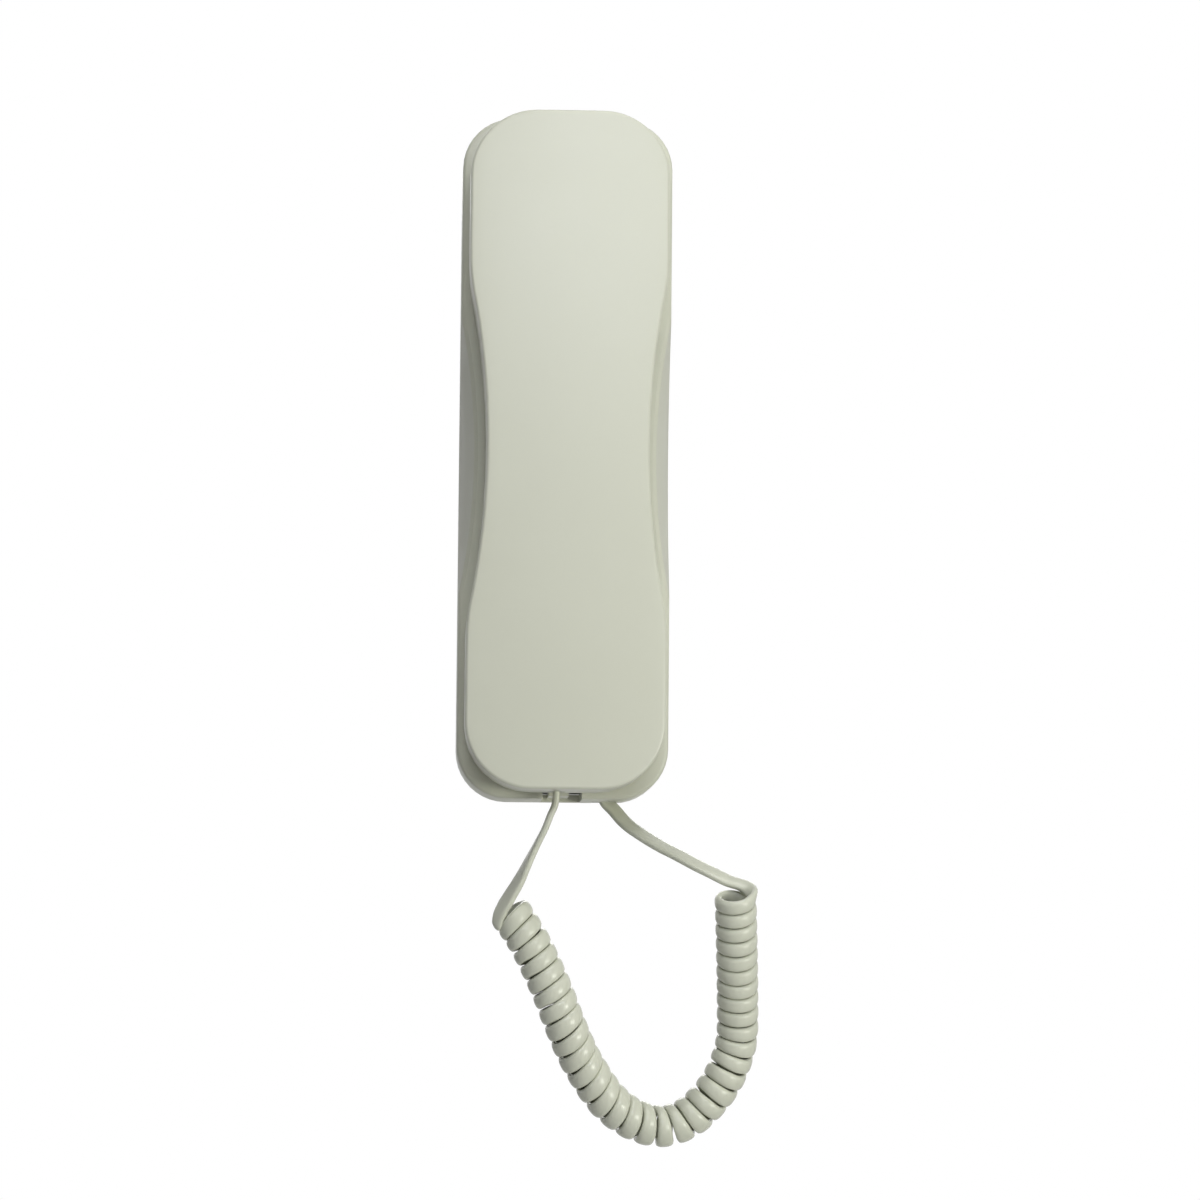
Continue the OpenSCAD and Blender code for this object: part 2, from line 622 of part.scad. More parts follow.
module hook_spring() {
    spring_r = 5;
    wire = 0.3;
    turns = 3;
    low = board_top + wire + 0.02;
    high = hook_flange_top - hook_flange_t - wire - 0.02;
    function spring_pt(a) =
        let (t = min(max((a - 360) / (360 * turns), 0), 1))
        [spring_r * cos(a), hook_y + spring_r * sin(a), low + (high - low) * t];
    pts = [for (k = [0:12 * (turns + 2)]) spring_pt(30 * k)];
    rings = [for (i = [0:len(pts) - 1])
        ring_at(pts[i], route_dir(pts, i), [0, 0, 1], 2 * wire, 2 * wire, 6)];
    coil = [for (i = [12:len(rings) - 13]) rings[i]];
    color([0.7, 0.7, 0.72]) on_wall()
        polyhedron(points = [for (r = coil) each r], faces = tube_faces(len(coil), 6));
}

module hook_plunger() {
    foot = board_top + switch_h + 0.05;
    color([0.8, 0.81, 0.75]) on_wall()
        translate([0, hook_y, 0]) {
            translate([0, 0, hook_flange_top - 0.1]) cylinder(r = plunger_r, h = base_d + 0.1 - hook_flange_top);
            translate([0, 0, base_d - 0.01]) cylinder(r1 = plunger_r, r2 = plunger_r - 0.5, h = 0.5);
            translate([0, 0, hook_flange_top - hook_flange_t]) cylinder(r = hook_flange_r, h = hook_flange_t);
            translate([0, 0, foot]) cylinder(r = 1.7, h = hook_flange_top - foot);
        }
}

module release_switch() {
    color([0.13, 0.13, 0.14]) on_wall()
        translate([0, release_y, board_top]) difference() {
            translate([-3.6, -3.6, 0]) cube([7.2, 7.2, 4.4]);
            translate([0, 0, 1]) cylinder(r = 1.95, h = 5);
        }
}

module release_actuator() {
    color([0.55, 0.12, 0.1]) on_wall()
        translate([0, release_y, board_top + 1.1 + button_travel]) cylinder(r = 1.9, h = 5 - button_travel);
}

module release_button() {
    foot = board_top + 6.1;
    flange = front_in - 0.1;
    color([0.55, 0.57, 0.55]) on_wall() {
        button_form(0, flange - 0.2, base_d + 0.1);
        button_form(-0.5, base_d, base_d + 0.4);
        button_form(1.2, flange - 1.2, flange);
        translate([0, release_y, foot]) cylinder(r = 2.6, h = flange - foot - 0.6);
    }
}

module call_sounder() {
    color([0.12, 0.12, 0.12]) on_wall()
        translate([sounder_x, sounder_y, board_top]) difference() {
            cylinder(r = 6, h = 7);
            translate([0, 0, 5]) cylinder(r = 1.2, h = 3);
        }
}

module handset_outer_shell() {
    pts = concat(skin_points(0, edge_r), skin_points(shell_wall, edge_r * 0.5));
    n = len(pts) / 2;
    faces = concat(
        skin_faces(),
        flip(shift(skin_faces(), n)),
        band(0, n, loop_n)
    );
    color([0.82, 0.83, 0.77]) on_wall() {
        polyhedron(points = pts, faces = faces);
        for (y = screw_ys)
            translate([0, y, tower_z + 0.1]) difference() {
                cylinder(r = 3.4, h = front_z - tower_z - shell_wall - 0.1);
                translate([0, 0, -1]) cylinder(r = 1.3, h = 13);
            }
        // Ribs that keep the receiver in its seat
        translate([-0.8, cap_y - 12, receiver_z + 9.8])
            cube([1.6, 24, crown(12, cap_y + 12, 0.5) - receiver_z - 9.8]);
        translate([-12, cap_y - 0.8, receiver_z + 9.8])
            cube([24, 1.6, crown(12, cap_y + 12, 0.5) - receiver_z - 9.8]);
    }
}

module handset_prism(inset, z0, z1) {
    translate([0, 0, z0]) linear_extrude(z1 - z0) polygon(loop_at(inset));
}

module hole_ring(n, r, d) {
    for (k = [0:n - 1])
        rotate([0, 0, 360 * k / n]) translate([r, 0, cap_z - 1]) cylinder(d = d, h = cap_floor + 2, $fn = 24);
}

module handset_inner_shell() {
    color([0.8, 0.81, 0.75]) on_wall() {
        difference() {
            union() {
                difference() {
                    union() {
                        handset_prism(1.2, handset_z, handset_z + 0.6);
                        handset_prism(0.5, handset_z + 0.4, handset_z + 1.3);
                        handset_prism(0, handset_z + 1.2, parting_z);
                    }
                    handset_prism(shell_wall, handset_z + shell_wall, parting_z + 1);
                }
                translate([0, cap_y, cap_z]) cylinder(r = ear_r, h = cap_h + 1);
                translate([0, -cap_y, cap_z]) cylinder(r = mouth_r, h = cap_h + 1);
                // Collar round the receiver
                translate([0, cap_y, handset_z + 0.5]) cylinder(r = receiver_r + 1.9, h = shell_wall + 3);
                for (y = screw_ys)
                    translate([0, y, handset_z + 0.5]) cylinder(r = 4.6, h = tower_z - handset_z - 0.5);
            }
            translate([0, cap_y, cap_z + cap_floor]) cylinder(r = receiver_r + 0.3, h = 20);
            translate([0, -cap_y, cap_z + cap_floor]) cylinder(r = mouth_r - 2, h = 20);
            translate([0, cap_y, 0]) {
                hole_ring(1, 0, grille_d);
                hole_ring(6, 4.6, grille_d);
                hole_ring(12, 9.2, grille_d);
            }
            translate([0, -cap_y, 0]) {
                hole_ring(1, 0, 1.6);
                hole_ring(6, 3.4, 1.6);
            }
            for (y = screw_ys) translate([0, y, 0]) {
                translate([0, 0, handset_z - 1]) cylinder(r = 3.1, h = screw_seat_z - handset_z + 1);
                translate([0, 0, handset_z]) cylinder(r = 1.7, h = 9);
            }
            peg_profile(peg_gap, handset_z - 1, handset_z + shell_wall + 1);
            translate([exit_x, lead_y - 1, exit_z]) rotate([-90, 0, 0]) cylinder(r = 2.9, h = shell_wall + 2);
        }
        // Socket for the microphone boot
        translate([0, -cap_y, cap_z + cap_floor - 0.2]) difference() {
            cylinder(r = 8.8, h = 5.2);
            translate([0, 0, 0.2]) cylinder(r = 7.2, h = 6);
            translate([0, 0, -1]) cylinder(r = 5, h = 3);
        }
    }
}

module handset_screws() {
    color([0.72, 0.72, 0.7]) on_wall()
        for (y = screw_ys) translate([0, y, screw_seat_z - 2.2]) pan_screw(2.8, 2.2, 1.25, 13);
}

module receiver_gasket() {
    color([0.1, 0.1, 0.1]) on_wall()
        translate([0, cap_y, cap_z + cap_floor]) difference() {
            cylinder(r = receiver_r, h = 1);
            translate([0, 0, -1]) cylinder(r = receiver_r - 3.4, h = 3);
        }
}

module receiver_basket() {
    color([0.5, 0.5, 0.52]) on_wall()
        translate([0, cap_y, receiver_z]) difference() {
            cylinder(r = receiver_r, h = 5);
            translate([0, 0, -1]) cylinder(r = receiver_r - 1.4, h = 5);
            for (k = [0:3]) rotate([0, 0, 45 + 90 * k]) translate([11.4, 0, 2]) cylinder(r = 1.1, h = 4);
        }
}

module receiver_diaphragm() {
    color([0.85, 0.83, 0.72]) on_wall()
        translate([0, cap_y, receiver_z + 0.6]) rotate_extrude() polygon([
            [0, 1.6], [3.5, 1.2], [5.5, 0.4], [9, 1.2], [receiver_r - 2.6, 0], [receiver_r - 1.4, 0],
            [receiver_r - 1.4, 0.4], [receiver_r - 2.6, 0.4], [9, 1.6], [5.5, 0.8], [3.5, 1.6], [0, 2]
        ]);
}

module receiver_magnet() {
    color([0.3, 0.3, 0.32]) on_wall()
        translate([0, cap_y, receiver_z + 5]) {
            cylinder(r = 8, h = 3.4);
            translate([0, 0, 3.3]) cylinder(r1 = 8, r2 = 7.4, h = 1.2);
        }
}

module microphone_boot() {
    color([0.1, 0.1, 0.1]) on_wall()
        translate([0, -cap_y, cap_z + cap_floor]) difference() {
            cylinder(r = 7, h = 7);
            translate([0, 0, 1]) cylinder(r = 4.85, h = 8);
            translate([0, 0, -1]) cylinder(r = 3.8, h = 4);
        }
}

module microphone() {
    color([0.75, 0.75, 0.76]) on_wall()
        translate([0, -cap_y, cap_z + cap_floor + 1]) difference() {
            cylinder(r = 4.85, h = 6.4);
            translate([0, 0, -1]) cylinder(r = 1, h = 1.6);
        }
}

module handset_grommet() {
    color([0.62, 0.63, 0.57]) on_wall()
        translate([exit_x, lead_y, exit_z]) rotate([-90, 0, 0]) difference() {
            union() {
                translate([0, 0, 0.1]) cylinder(r = 2.85, h = shell_wall + 1);
                translate([0, 0, shell_wall + 0.1]) cylinder(r = 3.7, h = 1.6);
            }
            translate([0, 0, -1]) cylinder(r = 1.1, h = 9);
        }
}

module receiver_wires() {
    rings = lead_rings(spline(ear_wire_route, 3), [1, 0, 0], [1, 0, 0], 2 * wire_r, 2 * wire_r, 6);
    color([0.6, 0.15, 0.12]) on_wall()
        polyhedron(points = [for (r = rings) each r], faces = tube_faces(len(rings), 6));
}

module microphone_wires() {
    rings = lead_rings(spline(mouth_wire_route, 3), [1, 0, 0], [1, 0, 0], 2 * wire_r, 2 * wire_r, 6);
    color([0.12, 0.25, 0.5]) on_wall()
        polyhedron(points = [for (r = rings) each r], faces = tube_faces(len(rings), 6));
}

module handset_lead() {
    rings = lead_rings(
        handset_line, [0, 0, 1], start_axis, cord_w, cord_t, 8, undef, curl_first_dir, room_of(0)
    );
    color([0.8, 0.81, 0.74]) on_wall()
        polyhedron(points = [for (r = rings) each r], faces = tube_faces(len(rings), 8));
}

module base_lead() {
    rings = lead_rings(
        base_line, end_axis, [0.3, 0.5, 0.8], room_of(coil_turns), cord_t, 8, -curl_last_dir, undef, cord_w
    );
    color([0.8, 0.81, 0.74]) on_wall()
        polyhedron(points = [for (r = rings) each r], faces = tube_faces(len(rings), 8));
}

module curly_cord() {
    color([0.8, 0.81, 0.74]) on_wall()
        polyhedron(points = [for (r = curl_rings) each r], faces = tube_faces(len(curl_rings), 6));
}

base_housing();
wall_plate();
base_grommet();
circuit_board();
board_screws();
terminal_block();
terminal_screws();
cord_connector();
board_tail();
hook_switch();
hook_spring();
hook_plunger();
release_switch();
release_actuator();
release_button();
call_sounder();
handset_outer_shell();
handset_inner_shell();
handset_screws();
receiver_gasket();
receiver_basket();
receiver_diaphragm();
receiver_magnet();
microphone_boot();
microphone();
handset_grommet();
receiver_wires();
microphone_wires();
handset_lead();
base_lead();
curly_cord();
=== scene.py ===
import bisect
import math

import bpy
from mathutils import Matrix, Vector


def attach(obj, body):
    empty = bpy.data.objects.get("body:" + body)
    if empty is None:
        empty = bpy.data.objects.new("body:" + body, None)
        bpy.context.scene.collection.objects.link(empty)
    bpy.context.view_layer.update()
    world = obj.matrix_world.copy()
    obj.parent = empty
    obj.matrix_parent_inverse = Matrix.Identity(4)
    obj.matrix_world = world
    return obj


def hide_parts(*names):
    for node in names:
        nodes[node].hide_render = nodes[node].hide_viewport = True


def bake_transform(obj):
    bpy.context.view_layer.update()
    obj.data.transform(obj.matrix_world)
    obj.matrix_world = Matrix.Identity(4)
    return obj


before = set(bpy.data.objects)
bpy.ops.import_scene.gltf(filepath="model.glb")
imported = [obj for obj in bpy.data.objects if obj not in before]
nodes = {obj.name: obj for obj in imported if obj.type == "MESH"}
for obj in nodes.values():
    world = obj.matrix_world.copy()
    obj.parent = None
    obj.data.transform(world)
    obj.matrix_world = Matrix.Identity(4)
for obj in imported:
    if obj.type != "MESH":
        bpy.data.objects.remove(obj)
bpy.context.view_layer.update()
scene = bpy.context.scene


# The camera stands a little to the left of the intercom and below its middle, and looks up at it.
# The picture's middle is low on the base, because the cord hangs far below it.
CAMERA_PLACE = Vector((-0.0485, -1.400, -0.1698))
CAMERA_TARGET = Vector((0.01164, 0.0, -0.0404))
CAMERA_ROLL = math.radians(0.50)
camera_data = bpy.data.cameras.new("camera")
camera_data.sensor_width = 36.0
camera_data.lens = 140.4
camera_data.clip_end = 20.0
camera = bpy.data.objects.new("camera", camera_data)
camera.location = CAMERA_PLACE
camera.rotation_euler = (CAMERA_TARGET - CAMERA_PLACE).to_track_quat("-Z", "Y").to_euler()
camera.rotation_euler.rotate_axis("Z", CAMERA_ROLL)
scene.collection.objects.link(camera)
scene.camera = camera


# The surround is a white studio sweep, and the floor is plain, pale and far below the hanging cord.
# Both look white in the picture and in reflections, and the floor still takes the object's shadow.
class Field:
    """A node's socket that adds, multiplies and compares like a number."""

    def __init__(self, tree, socket=None):
        self.tree = tree
        self.socket = socket

    def node(self, kind, output, inputs, **settings):
        made = self.tree.nodes.new(kind)
        for key, value in settings.items():
            setattr(made, key, value)
        for key, value in inputs.items():
            if isinstance(value, Field):
                self.tree.links.new(value.socket, made.inputs[key])
            else:
                made.inputs[key].default_value = value
        return Field(self.tree, made.outputs[output] if made.outputs else None)

    def maths(self, operation, *values):
        return self.node("ShaderNodeMath", 0, dict(enumerate(values)), operation=operation)

    def __add__(self, other):
        return self.maths("ADD", self, other)

    def __mul__(self, other):
        return self.maths("MULTIPLY", self, other)

    def __gt__(self, other):
        return self.maths("GREATER_THAN", self, other)

    def __lt__(self, other):
        return self.maths("LESS_THAN", self, other)

    __radd__ = __add__
    __rmul__ = __mul__

    def either(self, other):
        return self.maths("MAXIMUM", self, other)

    def noise(self, scale, detail=2.0):
        return self.node("ShaderNodeTexNoise", 0, {"Vector": self, "Scale": scale, "Detail": detail})

    def tint(self, dark, light):
        low = dark if isinstance(dark, Field) else (*dark, 1.0)
        high = light if isinstance(light, Field) else (*light, 1.0)
        return self.node("ShaderNodeMix", 2, {0: self, 6: low, 7: high}, data_type="RGBA")

    def bump(self, strength, distance):
        return self.node("ShaderNodeBump", 0, {"Height": self, "Strength": strength, "Distance": distance})


def seen_directly(field):
    camera_ray, glossy_ray, glass_ray = [
        field.node("ShaderNodeLightPath", ray, {})
        for ray in ("Is Camera Ray", "Is Glossy Ray", "Is Transmission Ray")
    ]
    return camera_ray.either(glossy_ray).either(glass_ray)


WHITE = (1.0, 1.0, 1.0, 1.0)
AMBIENT_STRENGTH = 0.03
scene.view_settings.view_transform = "Standard"
world = bpy.data.worlds.new("surround")
scene.world = world
world.use_nodes = True
world.node_tree.nodes.clear()
sky = Field(world.node_tree)
white = sky.node("ShaderNodeBackground", 0, {"Color": WHITE, "Strength": 1.0})
ambient = sky.node("ShaderNodeBackground", 0, {"Color": WHITE, "Strength": AMBIENT_STRENGTH})
both = sky.node("ShaderNodeMixShader", 0, {0: seen_directly(sky), 1: ambient, 2: white})
sky.node("ShaderNodeOutputWorld", 0, {"Surface": both})

FLOOR_LEVEL, FLOOR_HALF = -0.42, 4.0
FLOOR_COLOUR = (0.80, 0.80, 0.79, 1.0)
FLOOR_WHITENESS = 0.6
floor_corners = [
    (x * FLOOR_HALF, y * FLOOR_HALF, FLOOR_LEVEL) for x, y in ((-1, -1), (1, -1), (1, 1), (-1, 1))
]
floor_mesh = bpy.data.meshes.new("floor")
floor_mesh.from_pydata(floor_corners, [], [(0, 1, 2, 3)])
floor = bpy.data.objects.new("floor", floor_mesh)
scene.collection.objects.link(floor)
paint = bpy.data.materials.new("floor_paint")
paint.use_nodes = True
paint.node_tree.nodes.clear()
ground = Field(paint.node_tree)
matte = ground.node("ShaderNodeBsdfDiffuse", 0, {"Color": FLOOR_COLOUR})
glow = ground.node("ShaderNodeEmission", 0, {"Color": WHITE, "Strength": 1.0})
mixed = ground.node(
    "ShaderNodeMixShader", 0, {0: seen_directly(ground) * FLOOR_WHITENESS, 1: matte, 2: glow}
)
ground.node("ShaderNodeOutputMaterial", 0, {"Surface": mixed})
floor_mesh.materials.append(paint)


# Soft lights: a box above the handset, a wide one further out, a long strip over the camera and a low one
# at the right. The box above is nearest, so the front darkens downwards. The last one lights the back.
def soft_light(name, place, target, size, power, colour):
    data = bpy.data.lights.new(name, "AREA")
    data.shape = "RECTANGLE"
    data.size, data.size_y = size
    data.energy = power
    data.color = colour
    lamp = bpy.data.objects.new(name, data)
    lamp.location = place
    lamp.rotation_euler = (Vector(target) - Vector(place)).to_track_quat("-Z", "Y").to_euler()
    scene.collection.objects.link(lamp)


soft_light(
    "above", place=(0.05, -0.40, 0.65), target=(0.0, 0.0, 0.05),
    size=(0.60, 0.40), power=2.6, colour=(0.97, 0.97, 1.0),
)
soft_light(
    "wide", place=(0.0, -0.85, 0.85), target=(0.0, 0.0, 0.0),
    size=(0.80, 0.40), power=1.6, colour=(1.0, 1.0, 0.75),
)
soft_light(
    "strip", place=(0.10, -1.30, 0.42), target=(0.0, 0.0, 0.05),
    size=(0.90, 0.12), power=4.7, colour=(0.86, 0.88, 1.0),
)
soft_light(
    "low", place=(0.80, -0.75, -0.22), target=(0.02, 0.0, -0.10),
    size=(0.50, 0.25), power=4.6, colour=(1.0, 1.0, 0.92),
)
soft_light(
    "behind", place=(0.0, 1.30, 0.55), target=(0.0, 0.0, -0.05),
    size=(0.90, 0.50), power=4.0, colour=(1.0, 1.0, 0.97),
)


# The wall plate is a flat ivory moulding with two screw holes and an opening for the building's wires.
# It is screwed to the wall, and four snap fingers at its sides hold the housing.
MOTTLE_SCALE, RUB_SCALE = 45.0, 160.0
ROUGHNESS_SPREAD = 0.10
GRAIN_STRENGTH, GRAIN_HEIGHT = 0.10, 0.00008
WELD_DISTANCE = 0.000002
SHARP_ANGLE = math.radians(32)
BEVEL_ANGLE = math.radians(40)
BEVEL_SEGMENTS = 2


def new_material(name, roughness, metallic=0.0, specular=0.5):
    material = bpy.data.materials.new(name)
    material.use_nodes = True
    tree = material.node_tree
    shader = tree.nodes["Principled BSDF"]
    shader.inputs["Roughness"].default_value = roughness
    shader.inputs["Metallic"].default_value = metallic
    shader.inputs["Specular IOR Level"].default_value = specular
    spot = Field(tree).node("ShaderNodeTexCoord", "Object", {})
    return material, shader, spot


def feed(shader, **fields):
    for key, field in fields.items():
        field.tree.links.new(field.socket, shader.inputs[key.replace("_", " ")])


def moulded(name, dark, light, roughness, grain, metallic=0.0, specular=0.5):
    material, shader, spot = new_material(name, roughness, metallic, specular)
    feed(
        shader,
        Base_Color=spot.noise(MOTTLE_SCALE, detail=4.0).tint(dark, light),
        Roughness=(roughness - ROUGHNESS_SPREAD / 2) + ROUGHNESS_SPREAD * spot.noise(RUB_SCALE, detail=3.0),
        Normal=spot.noise(grain).bump(GRAIN_STRENGTH, GRAIN_HEIGHT),
    )
    return material


# A solid's facets are welded and shaded smooth, and its sharp edges stay sharp.
smoothing = bpy.data.node_groups.new("smooth_by_angle", "GeometryNodeTree")
for way in ("INPUT", "OUTPUT"):
    smoothing.interface.new_socket("Geometry", in_out=way, socket_type="NodeSocketGeometry")
solid = Field(smoothing).node("NodeGroupInput", 0, {})
welded = solid.node("GeometryNodeMergeByDistance", 0, {"Geometry": solid, "Distance": WELD_DISTANCE})
smooth = solid.node("GeometryNodeSetShadeSmooth", 0, {"Geometry": welded})
edge_angle = solid.node("GeometryNodeInputMeshEdgeAngle", "Unsigned Angle", {})
sharp = solid.node("FunctionNodeCompare", 0, {"A": edge_angle, "B": SHARP_ANGLE})
shaded = solid.node(
    "GeometryNodeSetShadeSmooth", 0, {"Geometry": smooth, "Selection": sharp, "Shade Smooth": False},
    domain="EDGE",
)
solid.node("NodeGroupOutput", 0, {0: shaded})


def dress(name, material, edge=0.0):
    piece = nodes[name]
    piece.modifiers.new("smooth_by_angle", "NODES").node_group = smoothing
    if edge:
        bevel = piece.modifiers.new("edge", "BEVEL")
        bevel.width = edge
        bevel.segments = BEVEL_SEGMENTS
        bevel.limit_method = "ANGLE"
        bevel.angle_limit = BEVEL_ANGLE
    if not piece.data.materials:
        piece.data.materials.append(material)
    for slot in piece.material_slots:
        slot.material = material


plate_plastic = moulded(
    "plate_plastic", (0.48, 0.49, 0.40), (0.53, 0.54, 0.45), roughness=0.55, grain=1500.0
)
dress("wall_plate", plate_plastic, edge=0.0002)


# The base housing is one ivory moulding with a finger scoop at each side and a notch for the cord below.
# Its rim is finely rounded, and wells in its front take the handset's ear and mouth caps.
IVORY_DARK, IVORY_LIGHT = (0.615, 0.625, 0.520), (0.640, 0.650, 0.545)


def ivory(name, specular):
    plastic, shader, spot = new_material(name, roughness=0.34, specular=specular)
    feed(
        shader,
        Base_Color=spot.noise(scale=30.0, detail=4.0).tint(IVORY_DARK, IVORY_LIGHT),
        Roughness=0.30 + 0.08 * spot.noise(scale=120.0, detail=3.0),
        Normal=spot.noise(scale=2600.0, detail=1.0).bump(strength=0.08, distance=0.00006),
    )
    return plastic


base_plastic = ivory("base_plastic", specular=0.25)
dress("base_housing", base_plastic, edge=0.0003)


# The circuit board is green laminate with tinned pads and tracks under the solder mask.
# Four small screws hold it to posts inside the housing.
MASK_GREEN, TRACK_GREEN, TIN = (0.010, 0.085, 0.035), (0.022, 0.15, 0.065), (0.62, 0.60, 0.55)
TRACKS_PER_METRE, TRACK_HALF = 400.0, 0.14
PADS_PER_METRE, PAD_RADIUS = 210.0, 0.17
UPRIGHT_ABOVE, LEVEL_BELOW, PADS_ABOVE = 0.5, 0.44, 0.47
board_mask, board_shader, spot = new_material("solder_mask", roughness=0.30)
along_x, along_z = [
    spot.node("ShaderNodeSeparateXYZ", axis, {0: spot}) * TRACKS_PER_METRE for axis in ("X", "Z")
]
area = spot.noise(scale=60.0, detail=0.0)
upright = (along_x.maths("PINGPONG", along_x, 0.5) < TRACK_HALF) * (area > UPRIGHT_ABOVE)
level = (along_z.maths("PINGPONG", along_z, 0.5) < TRACK_HALF) * (area < LEVEL_BELOW)
tracks = upright.either(level)
pad_distance = spot.node(
    "ShaderNodeTexVoronoi", "Distance", {"Vector": spot, "Scale": PADS_PER_METRE, "Randomness": 0.35}
)
pads = (pad_distance < PAD_RADIUS) * (area > PADS_ABOVE)
feed(
    board_shader,
    Base_Color=pads.tint(tracks.tint(MASK_GREEN, TRACK_GREEN), TIN),
    Metallic=pads * 0.8,
    Roughness=0.28 + 0.14 * spot.noise(scale=300.0),
    Normal=tracks.either(pads).bump(strength=0.25, distance=0.00005),
)
dress("circuit_board", board_mask, edge=0.0001)

STEEL_DARK, STEEL_LIGHT = (0.42, 0.42, 0.40), (0.56, 0.56, 0.54)
steel, steel_shader, spot = new_material("zinc_steel", roughness=0.34, metallic=0.92)
feed(
    steel_shader,
    Base_Color=spot.noise(scale=500.0, detail=3.0).tint(STEEL_DARK, STEEL_LIGHT),
    Roughness=0.24 + 0.22 * spot.noise(scale=900.0, detail=3.0),
    Normal=spot.noise(scale=2400.0).bump(strength=0.12, distance=0.00004),
)
dress("board_screws", steel, edge=0.00008)


# The terminal block takes the building's wires behind the board, under a row of slotted screws.
# Beside it the flat tail of the cord plugs into a nylon connector.
terminal_plastic = moulded(
    "terminal_plastic", (0.018, 0.065, 0.035), (0.026, 0.085, 0.048), roughness=0.40, grain=1800.0
)
nylon = moulded("nylon", (0.66, 0.64, 0.57), (0.72, 0.70, 0.63), roughness=0.38, grain=1400.0)
tail_jacket = moulded("tail_jacket", (0.50, 0.51, 0.44), (0.55, 0.56, 0.48), roughness=0.36, grain=1100.0)
dress("terminal_block", terminal_plastic, edge=0.0001)
dress("terminal_screws", steel, edge=0.00006)
dress("cord_connector", nylon, edge=0.0001)
dress("board_tail", tail_jacket)


# The two switches and the sounder are black moulded parts soldered to the board's front.
# The hook switch stands under the plunger, and the release switch under the button.
black_moulding = moulded(
    "black_moulding", (0.012, 0.012, 0.013), (0.022, 0.022, 0.024), roughness=0.42, grain=1700.0
)
dress("hook_switch", black_moulding, edge=0.0001)
dress("release_switch", black_moulding, edge=0.0001)
dress("call_sounder", black_moulding, edge=0.0002)


# The hook plunger is an ivory pin that the hanging handset pushes in, and a wire spring lifts it.
# The spring sits round its stem, between the board and the pin's flange.
dress("hook_plunger", base_plastic, edge=0.0002)
dress("hook_spring", steel)


# The release button is a grey key with a stem that presses a red actuator in its switch.
# It sits in a slot in the housing's front, under the handset.
button_plastic = moulded(
    "button_plastic", (0.24, 0.255, 0.24), (0.28, 0.295, 0.28), roughness=0.46, grain=1500.0
)
red_moulding = moulded(
    "red_moulding", (0.24, 0.014, 0.010), (0.30, 0.022, 0.016), roughness=0.40, grain=1600.0
)
dress("release_button", button_plastic, edge=0.0002)
dress("release_actuator", red_moulding, edge=0.0001)


# The base grommet is a grey rubber block that grips the base's lead.
# It sits in an opening of the housing's lower wall, and a wider end keeps it from being pulled out.
rubber = moulded(
    "grommet_rubber", (0.31, 0.32, 0.26), (0.37, 0.38, 0.32), roughness=0.62, grain=1200.0, specular=0.35
)
dress("base_grommet", rubber, edge=0.0002)


# The handset's inner shell carries the ear cap and the mouth cap and hangs on the base's peg.
# It is the same ivory plastic as the base, and two screws pull it to the outer shell.
# A rubber grommet in its lower end grips the handset's lead.
dress("handset_inner_shell", base_plastic)
dress("handset_screws", steel, edge=0.00008)
dress("handset_grommet", rubber, edge=0.0002)


# The receiver behind the ear cap: a foam ring, a metal basket, a thin film cone and a magnet.
# It is clamped between the cap's collar and ribs of the outer shell, and red wires in one sleeve feed it.
foam = moulded(
    "foam", (0.010, 0.010, 0.010), (0.024, 0.024, 0.024), roughness=0.85, grain=900.0, specular=0.2
)
basket_metal = moulded(
    "basket_metal", (0.20, 0.20, 0.21), (0.27, 0.27, 0.28), roughness=0.40, grain=1500.0, metallic=0.8
)
film = moulded("film", (0.66, 0.62, 0.45), (0.72, 0.68, 0.52), roughness=0.30, grain=700.0)
magnet = moulded(
    "magnet", (0.07, 0.07, 0.075), (0.11, 0.11, 0.115), roughness=0.50, grain=1300.0, metallic=0.6
)
red_insulation = moulded(
    "red_insulation", (0.30, 0.018, 0.012), (0.36, 0.028, 0.018), roughness=0.33, grain=1500.0
)
dress("receiver_gasket", foam)
dress("receiver_basket", basket_metal, edge=0.0001)
dress("receiver_diaphragm", film)
dress("receiver_magnet", magnet, edge=0.0001)
dress("receiver_wires", red_insulation)


# The microphone is a small aluminium can held in a black rubber boot behind the mouth cap.
# Its blue wires run in one sleeve to the cord.
boot_rubber = moulded(
    "boot_rubber", (0.010, 0.010, 0.010), (0.018, 0.018, 0.018), roughness=0.66, grain=1200.0, specular=0.3
)
aluminium = moulded(
    "aluminium", (0.52, 0.52, 0.53), (0.60, 0.60, 0.61), roughness=0.32, grain=1900.0, metallic=0.9
)
blue_insulation = moulded(
    "blue_insulation", (0.012, 0.05, 0.20), (0.018, 0.07, 0.25), roughness=0.33, grain=1500.0
)
dress("microphone_boot", boot_rubber)
dress("microphone", aluminium, edge=0.0001)
dress("microphone_wires", blue_insulation)


# The handset's outer shell is one crowned moulding in warm ivory plastic, waisted at both sides.
# Its front edge is finely rounded all round, and it closes on the inner shell at a thin parting line.
SHELL_W, SHELL_H, SHELL_R = 0.0584, 0.1996, 0.0194
WAIST_DEPTH, WAIST_HALF, KINK = 0.0055, 0.0505, 0.006
PARTING, FRONT_TOP, EDGE_R, SHELL_WALL = 0.0330, 0.0490, 0.0009, 0.0020
PARTING_GAP, PARTING_LIP = 0.00004, 0.00025
CROWN_LONG, CROWN_CROSS = 1.800, 0.220
CORNER_STEPS, STRAIGHT_STEPS, KINK_STEPS, WAIST_STEPS, EDGE_STEPS = 24, 6, 8, 16, 8
COLUMNS = 25


def waist_x(z):
    radius = (WAIST_HALF ** 2 + WAIST_DEPTH ** 2) / (2 * WAIST_DEPTH)
    return SHELL_W / 2 - math.sqrt(radius * radius - z * z) + radius - WAIST_DEPTH


